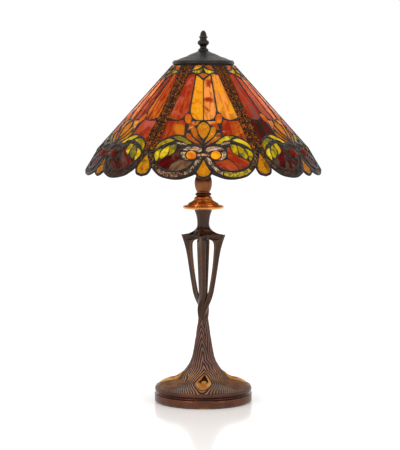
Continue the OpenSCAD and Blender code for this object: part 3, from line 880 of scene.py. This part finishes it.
def metal(name, colour, second, roughness, scale, bump, metallic=1.0, worn=None, speckle=0.0):
    """Metal with a mottled patina; worn is a colour rubbed through on the high edges."""
    t = Tree(name)
    where = t.where()
    base = t.mix(t.ramp(t.noise(scale, where, 4, 0.6), 0.35, 0.65), colour, second)
    fine = t.noise(scale * 9, where, 3, 0.6)
    if speckle:
        base = t.mix(t.ramp(fine, 0.55, 0.75, 0, speckle), base, (0.01, 0.008, 0.006))
    if worn:
        edge = t.ramp(t.add("NewGeometry").outputs["Pointiness"], 0.505, 0.56)
        base = t.mix(edge, base, worn)
    return t.finished(Base_Color=base, Metallic=metallic, Normal=t.bump(fine, bump, 0.0006),
                      Roughness=t.ramp(fine, 0.25, 0.75, *roughness))


def feather_bronze():
    """Antique bronze: brown skin, rubbed gold ridges and grey-green hollows by ridge height."""
    t = Tree("feather_bronze")
    where = t.where()
    ridge = t.attribute("ridge")
    cloud = t.noise(22, where, 4, 0.6)
    fine = t.noise(420, where, 3, 0.6)
    skin = t.mix(t.ramp(cloud, 0.35, 0.65), (0.105, 0.038, 0.024), (0.065, 0.026, 0.018))
    hollow = t.mix(t.ramp(cloud, 0.3, 0.7), (0.01, 0.007, 0.006), (0.022, 0.017, 0.014))
    brown = t.mix(t.ramp(cloud, 0.42, 0.62), (0.22, 0.1, 0.07), (0.13, 0.07, 0.052))
    gold = t.mix(t.ramp(cloud, 0.4, 0.6), (0.46, 0.24, 0.1), (0.24, 0.125, 0.065))
    gilt = t.mix(t.ramp(cloud, 0.4, 0.6), (0.42, 0.17, 0.025), (0.62, 0.29, 0.05))
    # The deck is rubbed gold, and the trunk above it brown.
    up = t.add("SeparateXYZ", Vector=where).outputs["Z"]
    rubbed = t.mix(t.ramp(up, 0.045, 0.075), gold, brown)
    base = t.mix(t.ramp(ridge, 0.1, 0.5, 1.0, 0.0), skin, hollow)
    base = t.mix(t.ramp(ridge, 0.45, 0.9), base, rubbed)
    base = t.mix(t.ramp(t.attribute("gild"), 0.15, 0.8), base, gilt)
    return t.finished(Base_Color=base, Metallic=0.7, Normal=t.bump(fine, 0.35, 0.0005),
                      Roughness=t.ramp(fine, 0.2, 0.8, 0.3, 0.48))


def plain(name, colour, second, roughness, scale, bump, **more):
    """A clouded plain surface; more goes to the shader's inputs."""
    t = Tree(name)
    where = t.where()
    cloud = t.ramp(t.noise(scale, where, 4, 0.6), 0.3, 0.7)
    return t.finished(Base_Color=t.mix(cloud, colour, second), Roughness=roughness,
                      Normal=t.bump(t.noise(scale * 4, where, 2), bump, 0.0004), **more)


# ---------- stand ----------

DECK_PROFILE = [(94, 22.5), (94.3, 25.5), (93.2, 28.6), (90.4, 31), (82, 36), (70, 41),
    (62, 43.2), (56, 44.4), (49, 47.6), (42, 53.6), (36, 60), (31.2, 66.5), (26.6, 74), (23, 82),
    (20.4, 91), (18.4, 101), (16.4, 113.5), (14.4, 126), (12.4, 140), (10.4, 153), (9.2, 163)]
RIDGE_PITCH = 4.3
FLAT_AT = 94
CANOPY_Z = 326


def drop_distance(x, y, centre, radius, tip):
    """Distance outside a teardrop: a circle whose tangents meet at the tip above it."""
    lean = math.asin(radius / (tip - centre))
    to_circle = np.hypot(x, y - centre) - radius
    to_side = x * math.cos(lean) + (y - tip) * math.sin(lean)
    on_side = (y - centre) * math.cos(lean) - x * math.sin(lean) > 0
    return np.where(on_side, to_side, to_circle)


def soft(value, low, high):
    t = np.clip((value - low) / (high - low), 0, 1)
    return t * t * (3 - 2 * t)


def feather_fields(r, phi, along):
    """Ridge height, gilding and lift at a distance along from the deck's edge."""
    near = off_quarter(phi + 0.55 * soft(along, 60, 150))
    spot = np.stack([r * np.sin(phi), r * np.cos(phi), along], axis=-1)
    warp = waves(21, 26)(spot)
    bend = waves(22, 55)(spot)
    x = r * near + 1.0 * warp * np.clip(along / 60, 0.2, 1.6)
    y = along + 1.2 * bend
    # The deck is nearly level, so the eyes are drawn out towards the foot's edge.
    v = np.interp(y, [-20, 9, 26, 40, 66, 200], [-30, -16.5, -8, 0, 31, 165])
    ax = np.abs(x - 0.1 * np.clip(v, -8, 40))
    drop = drop_distance(ax, v, 0, 16.3, 33.0)
    # Up the trunk the barbs slope down from a spine over each eye and meet in a U.
    barbs = y * 0.3 + 0.95 * np.sqrt(ax * ax + 2) - 18
    trunk = soft(along, 54, 84)
    phase = drop * (1 - trunk) + barbs * trunk + 0.9 * warp
    ridge = 0.5 + 0.5 * np.cos(2 * math.pi * phase / RIDGE_PITCH)
    outside = np.maximum(soft(drop, -0.2, 1.0), trunk)
    ridge_lift = 1.1 * (ridge - 0.5) * outside
    # The eye: a broad raised rim, a dark hollow, and a heart in the middle of it.
    inner = drop_distance(ax, v, 3.5, 8.8, 25.0)
    in_eye = soft(-drop, 0, 1.2) * (1 - trunk)
    rim = in_eye * soft(inner, -0.3, 0.8)
    heart = np.clip(1 - np.hypot(ax / 6.4, (v - 3.8 - 0.3 * ax) / 5.8), 0, 1)
    hollow = in_eye * (1 - soft(inner, -0.8, 0.2))
    wide = np.clip(-drop / 6.0, 0, 1)
    eye_lift = rim * (0.5 + 2.2 * np.sin(wide * math.pi / 2)) - hollow * 2.2
    eye_lift = eye_lift + 4.2 * np.sqrt(heart) * in_eye
    gild = np.clip(rim * (0.55 + 0.45 * wide) + soft(heart, 0.02, 0.12), 0, 1)
    ridge = ridge * outside + (1 - outside) * np.where(hollow > 0.4, 0.0, 0.45)
    # Each feather swells round its eye and sinks towards the valley beside it.
    swell = np.cos(near * 2) ** 2
    lobe = 6.5 * np.exp(-(((along - 31) / 24) ** 2)) * (swell - 0.95)
    return ridge, gild, ridge_lift + eye_lift + lobe


def feather_skin(name, low, high, around, down):
    """The part of the deck and trunk between two fractions of the profile's length."""
    line = spline(DECK_PROFILE, 0.2)
    steps = np.concatenate([[0], np.cumsum(np.linalg.norm(np.diff(line, axis=0), axis=1))])
    along = np.linspace(low * steps[-1], high * steps[-1], down)
    r, z = [np.interp(along, steps, line[:, i]) for i in range(2)]
    slope = np.gradient(np.stack([r, z], axis=1), axis=0)
    slope /= np.linalg.norm(slope, axis=1)[:, None]
    phi, r = np.meshgrid(azimuths(around), r)
    far = np.repeat(along[:, None], around, axis=1)
    ridge, gild, lift = feather_fields(r, phi, far - 6)
    # The pattern starts behind the deck's edge.
    band = soft(far, 6.0, 8.5)
    lift, ridge, gild = lift * band, ridge * band + 0.42 * (1 - band), gild * band
    verts = about_axis(r + lift * slope[:, 1:], phi, z[:, None] - lift * slope[:, :1])
    obj = new_object(name, verts.reshape(-1, 3), grid_faces(down, around))
    for key, values in (("ridge", ridge), ("gild", gild)):
        values = values.ravel()
        point_colours(obj.data, key, np.stack([values] * 3 + [np.ones_like(values)], axis=1))
    return obj


def foot_ring():
    """The foot: a band with four flats, a stepped groove above it and a turned-in underside."""
    edge = far_corner_mm("base_casting")[0]

    def shape(r, phi, z):
        cut = np.minimum(0, FLAT_AT / np.maximum(np.cos(off_quarter(phi)), 0.1) - r)
        return np.where((z < 15) & (r > 80), cut, 0), 0

    profile = [(89, 2, 1), (edge - 1.6, 2, 1), (edge - 0.4, 3.2), (edge, 6), (edge, 12),
        (edge - 0.6, 14.4), (edge - 2, 15.6), (91.6, 16.4, 1), (90.2, 17.4), (90.4, 19),
        (92.4, 20.4), (94, 22.6)]
    return lathe("foot_ring", profile, 0.7, 360, shape)


STEM_TURN = -math.radians(8)
# Half the cross-section of a strut: share of its half-width, share of its depth.
STRUT_SECTION = [(0, -0.04), (0.5, -0.03), (0.82, 0.0), (0.97, 0.06), (1.0, 0.16), (0.93, 0.28),
    (0.8, 0.4), (0.66, 0.52), (0.52, 0.64), (0.38, 0.76), (0.24, 0.88), (0.1, 0.97)]
# Height with a strut's outer and inner radius and its half-width, each [height, value].
STRUT_OUTER = [(150, 9.6), (163, 9.8), (176, 12.4), (189, 15.2), (216, 21.2), (240, 25.3),
    (260, 28.4), (280, 31.4), (295, 34.2), (308, 37.6), (318, 41), (325.6, 43.4)]
STRUT_INNER = [(150, 7.4), (163, 5.4), (176, 4.8), (189, 5.4), (204, 8), (216, 11.4), (240, 15.6),
    (260, 18.4), (280, 20.4), (300, 21.8), (308, 21.4), (312, 19.8), (314.5, 17.4), (316, 13.5),
    (317, 8), (325.6, 8)]
STRUT_HALF = [(150, 0.8), (163, 3.0), (176, 5.4), (189, 6.4), (206, 7.0), (216, 7.0), (255, 7.8),
    (295, 8.8), (312, 9.2), (316, 9.6), (321, 7.9), (324.4, 3.4), (325.6, 0.8)]
STRUT_TOP, STRUT_TIP, STRUT_ROWS = 325.6, 150.0, 190


def stem_struts():
    """Four struts, each from its horned top down to its twisted tip."""
    z = np.linspace(STRUT_TOP, STRUT_TIP, STRUT_ROWS)[:, None]
    outer, inner, half = [np.interp(z, *np.array(table, float).T)
                          for table in (STRUT_OUTER, STRUT_INNER, STRUT_HALF)]
    twist = -math.radians(76) * soft(214 - z, 0, 56)
    section = STRUT_SECTION + [(0, 1.0)] + [(-u, v) for u, v in STRUT_SECTION[:0:-1]]
    around = len(section)
    u, v = np.array(section).T
    flute = 0.35 * np.sin(26 * v) * np.minimum(1, half / 5) * (v > 0.2)
    across = u * half + np.copysign(flute, u) * (u != 0)
    radius = inner + v * (outer - inner)
    lean = twist + np.arctan2(across, np.maximum(radius, 1))
    out = np.hypot(across, radius)
    z = np.broadcast_to(z, out.shape)
    verts, faces = [], []
    for k in range(4):
        first = k * STRUT_ROWS * around
        verts.append(about_axis(out, STEM_TURN + k * QUARTER + lean, z).reshape(-1, 3))
        faces += [tuple(first + i for i in f) for f in grid_faces(STRUT_ROWS, around)]
        faces.append(tuple(range(first, first + around))[::-1])
        last = first + (STRUT_ROWS - 1) * around
        faces.append(tuple(range(last, last + around)))
    return new_object("stem_struts", np.concatenate(verts), faces)


def stem_neck():
    """The fluted neck, flaring into a canopy with four horns over the struts."""
    line = spline([(17.4, 374), (16.2, 370), (13.6, 362.5), (12.2, 354.5), (11.7, 347),
        (12.4, 341), (16.2, 335.6), (22, 331.4), (29, 328.4), (36, 326.8), (43, CANOPY_Z)], 0.7)
    around = 256
    phi = azimuths(around)
    near = np.abs(off_quarter(phi - STEM_TURN))
    # How far the canopy reaches at each azimuth: a horn in line with each strut.
    reach_out = 21.5 + 21.7 * np.clip(1 - near / math.radians(30), 0, 1) ** 1.7
    rings = []
    for r, z in line:
        flare = max(0.0, (r - 13) / 30) if z < 340 else 0.0
        flute = 0.9 * np.abs(np.sin(6 * phi)) * max(0.0, 1 - flare * 2)
        dish = 0.576 * (near / math.radians(45)) ** 2 + 1.2 * (near < math.radians(4))
        stretched = r if r < 15 or z > 335 else 15 + (r - 15) * (reach_out - 15) / 28
        rings.append(about_axis(stretched - flute, phi, z - flare * dish))
    # The canopy's edge turns under to an arch between the struts.
    horn = np.clip(1 - near / math.radians(26), 0, 1)
    for drop, shrink in ((1.2, 0.2), (3.4, 0.0), (6.0, 1.2), (8.6, 4.5), (9.4, 9.0)):
        r = np.maximum(8.0, reach_out - shrink - horn * drop * 0.5)
        rings.append(about_axis(r, phi, CANOPY_Z - drop * (1 - 0.1 * horn)))
    return new_object("stem_neck", np.concatenate(rings), grid_faces(len(rings), around))


def stem_core():
    """The twisted core that the struts wrap at the waist."""
    def shape(r, phi, z):
        turn = phi + np.clip((212 - z) / 56, 0, 1) * 1.3
        return 0.7 * np.cos(4 * turn) + 0.25 * np.cos(28 * turn), 0

    return lathe("stem_core", [(0.5, 214), (3.4, 210), (5, 200), (6.6, 186), (8, 172),
                               (9.2, 160), (9.8, 150)], 0.7, 128, shape)


# ---------- cap and finial ----------

def heat_cap_skin():
    """The cap, with two rows of overlapping leaves and fine veins raised on its top."""
    edge, _, top = far_corner_mm("heat_cap")

    def shape(r, phi, z):
        def row(start, length):
            return np.sin(np.pi * np.clip((r - start) / length, 0, 1))

        leaves = np.abs(np.sin(6 * phi)) ** 0.7 * row(16, 20)
        leaves = leaves + np.abs(np.cos(9 * phi + 0.12 * r)) ** 0.8 * row(32, 20)
        veins = 0.25 * np.cos(36 * phi + 0.7 * r) * row(14, 38)
        outer = np.arange(len(r))[:, None] < np.argmax(r[:, 0])
        on_top = (r > 14) & (r < edge - 8) & outer
        return 0, on_top * (0.9 * leaves + 0.5 * veins)

    profile = [(5.4, top, 1), (10.6, top, 1), (13, 679.6), (20.9, 675.8), (28.3, 672.3),
        (37.2, 668.6), (44.7, 665.9), (edge - 7.8, 663.4), (edge - 5.4, 663.2), (edge - 3, 662.6),
        (edge - 0.8, 660.2), (edge, 657.6), (edge - 1, 655), (edge - 3, 654.1),
        (edge - 5.2, 655.2), (edge - 6, 658.6), (40, 664)]
    return lathe("heat_cap_skin", profile, 0.6, 480, shape)


# Turned pieces: [radius, height], with a third number of 1 at a sharp corner.
FINIAL_PROFILE = [(5, 681.2, 1), (9.6, 681.2, 1), (10.2, 682.6), (9.2, 684.6), (6.8, 686.6),
    (6.3, 689), (7.6, 691.6), (10.2, 694), (11.2, 697), (10.2, 700), (7.6, 702), (6.7, 703.6, 1),
    (7, 705.8), (8.6, 707.3), (8.7, 708.6), (6.5, 709.6, 1), (6.2, 711.6), (5.6, 714.8),
    (4.3, 717.8), (2.4, 720), (0.02, 720.7)]
DISC_PROFILE = [(5.2, 374.15, 1), (18, 374.15), (36, 376, 1), (38.6, 376.8), (40, 379),
    (39.4, 381), (36.8, 382.6, 1), (34, 382.4), (31.8, 383.4), (30, 385.6), (28.6, 387.4, 1),
    (26, 388.4), (23, 390), (20.6, 391.6, 1), (19.2, 392.6), (18.2, 395), (17.4, 397.2),
    (15.2, 399.2), (12.6, 400.9)]
RING_PROFILE = [(12.2, 401, 1), (14.4, 401.6), (15.6, 403.2), (15.6, 404.8), (14.4, 406.4),
    (12.4, 407)]
VASE_PROFILE = [(12.2, 406.9, 1), (12.5, 408.6, 1), (13.6, 410.4), (15.4, 415), (16.8, 421),
    (17.2, 427), (16.6, 432), (15, 437.2), (12.4, 442.6), (9.6, 447), (8.3, 449.9, 1),
    (5.2, 449.9)]


# ---------- putting it together ----------

add_camera()
add_studio()

far = 9000
floor = new_object("floor", [(-far, -far, 0), (far, -far, 0), (far, far, 0), (-far, far, 0)],
                   [(0, 1, 2, 3)])
floor_tree = Tree("floor_white")
floor_tree.fill(floor_tree.shader, Base_Color=(0.88, 0.88, 0.87), Roughness=0.13,
                Emission_Color=(1, 1, 1), Emission_Strength=0.15)
floor.data.materials.append(floor_tree.material)
floor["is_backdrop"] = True

SOLDER = metal("solder_patina", (0.01, 0.008, 0.007), (0.03, 0.022, 0.018), (0.25, 0.5), 140,
    0.6, 0.8)
DARK = metal("dark_bronze", (0.01, 0.008, 0.007), (0.024, 0.018, 0.014), (0.34, 0.5), 60, 0.5,
    0.6, worn=(0.07, 0.052, 0.04))
COPPER = metal("polished_copper", (0.82, 0.41, 0.12), (0.62, 0.28, 0.09), (0.27, 0.33), 14, 0.03)
VASE = metal("satin_copper", (0.24, 0.085, 0.032), (0.17, 0.058, 0.025), (0.28, 0.38), 30, 0.15)
RING = metal("dark_ring", (0.09, 0.035, 0.018), (0.05, 0.022, 0.014), (0.25, 0.4), 60, 0.2)
STEM = metal("stem_bronze", (0.06, 0.026, 0.016), (0.034, 0.022, 0.018), (0.26, 0.42), 30, 0.45,
    0.75, worn=(0.17, 0.075, 0.03), speckle=0.3)
FOOT = metal("foot_bronze", (0.12, 0.038, 0.02), (0.075, 0.028, 0.017), (0.18, 0.34), 26, 0.25,
    0.75, worn=(0.3, 0.12, 0.04))
FEATHER = feather_bronze()
panes = build_glass()
ART_GLASS = {
    "streaky": art_glass("streaky_opal", (3.4, 0.5), 9),
    "lobe": art_glass("lobe_opal", (4.5, 0.8), 10, painted_glow=0.25, dark=0.35),
    "leafy": art_glass("leaf_opal", (4.5, 1.2), 12, painted_glow=0.5, dark=0.12),
    "ripple": art_glass("ripple_amber", (4, 2.5), 12, 1.0, 3.4, 0.2, 0.35, contrast=0.06),
    "hammered": art_glass("hammered_clear", (5, 5), 14, 1.2, 4.2, 0.15, 0.4, 0.05, 0.3),
    "granular": art_glass("granular_amber", (5, 2), 14, 1.0, 4.0, 0.18, 0.45, 0.16, 0.25),
    "jewel": art_glass("pressed_jewel", (2, 2), 8, roughness=0.05, painted_glow=0.8, dark=0.1),
}
for kind, obj in panes.items():
    dress(obj, ART_GLASS[KINDS[kind][0]], KINDS[kind][1], "shade", kind)

dress(came("came_outside", 1.0, -0.6, 1.0, -1.6), SOLDER, "solder", "shade", "lead_came")
dress(came("came_inside", 2.4, -3.6, -1.0, -3.2), SOLDER, "solder", "shade")
dress(rim_bead(), SOLDER, "solder", "shade")

dress(foot_ring(), FOOT, "bronze", "stand", "base_casting")
for label, low, high, around, down in (
        ("feather_deck_edge", 0, 0.26, 800, 116), ("feather_deck", 0.26, 0.52, 800, 116),
        ("feather_trunk", 0.515, 0.76, 480, 150), ("feather_trunk_top", 0.76, 1, 480, 150)):
    dress(feather_skin(label, low, high, around, down), FEATHER, "bronze", "stand")
dress(stem_struts(), STEM, "bronze", "stand", "openwork_stem")
dress(stem_neck(), STEM, "bronze", "stand")
dress(stem_core(), STEM, "bronze", "stand")
disc = lathe("disc_turning", DISC_PROFILE, 0.4, 160)
dress(disc, COPPER, "copper", "stand", "stem_disc")
dress(lathe("ring_turning", RING_PROFILE, 0.4), RING, "dark_bronze", "stand", "stem_ring")
dress(lathe("vase_turning", VASE_PROFILE, 0.6), VASE, "copper_brown", "stand", "stem_vase")
dress(heat_cap_skin(), DARK, "dark_bronze", "cap", "heat_cap")
finial = lathe("finial_skin", FINIAL_PROFILE, 0.45, 96)
dress(finial, DARK, "dark_bronze", "finial_body", "finial")

# By CAD material slot, for the CAD nodes that stay.
NODE_MATERIALS = {
    "bronze": STEM, "dark_bronze": DARK, "copper": COPPER, "copper_brown": VASE,
    "solder": SOLDER,
    "brass": metal("plain_brass", (0.6, 0.42, 0.15), (0.5, 0.34, 0.12), (0.25, 0.4), 50, 0.2),
    "iron": metal("cast_iron", (0.05, 0.05, 0.052), (0.08, 0.075, 0.07), (0.55, 0.75), 90, 0.9,
        0.6),
    "cap_metal": metal("rolled_aluminium", (0.62, 0.62, 0.64), (0.5, 0.5, 0.52), (0.25, 0.4), 70,
        0.2),
    "felt": plain("green_felt", (0.02, 0.06, 0.03), (0.03, 0.085, 0.04), 0.95, 500, 0.9,
        Sheen_Weight=0.6),
    "black_rubber": plain("black_rubber", (0.012, 0.012, 0.012), (0.02, 0.02, 0.02), 0.7, 200,
        0.4),
    "porcelain": plain("white_porcelain", (0.82, 0.8, 0.75), (0.76, 0.74, 0.69), 0.2, 60, 0.1,
        Coat_Weight=0.5),
    "black_plastic": plain("black_bakelite", (0.012, 0.01, 0.009), (0.022, 0.017, 0.014), 0.25,
        90, 0.2, Coat_Weight=0.4),
    "bulb_glass": plain("frosted_bulb", (0.74, 0.55, 0.3), (0.66, 0.48, 0.25), 0.4, 40, 0.1,
        Emission_Color=(1.0, 0.62, 0.26), Emission_Strength=0.25),
    "filament": plain("glowing_filament", (1.0, 0.75, 0.35), (1.0, 0.66, 0.28), 0.4, 90, 0.1,
        Emission_Color=(1.0, 0.66, 0.28), Emission_Strength=8.0),
}
for part in frame["record"]["subparts"]:
    if part["material_slot"] in NODE_MATERIALS:
        paint(frame["nodes"][part["node"]], NODE_MATERIALS[part["material_slot"]])

bpy.context.view_layer.update()
low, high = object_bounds()
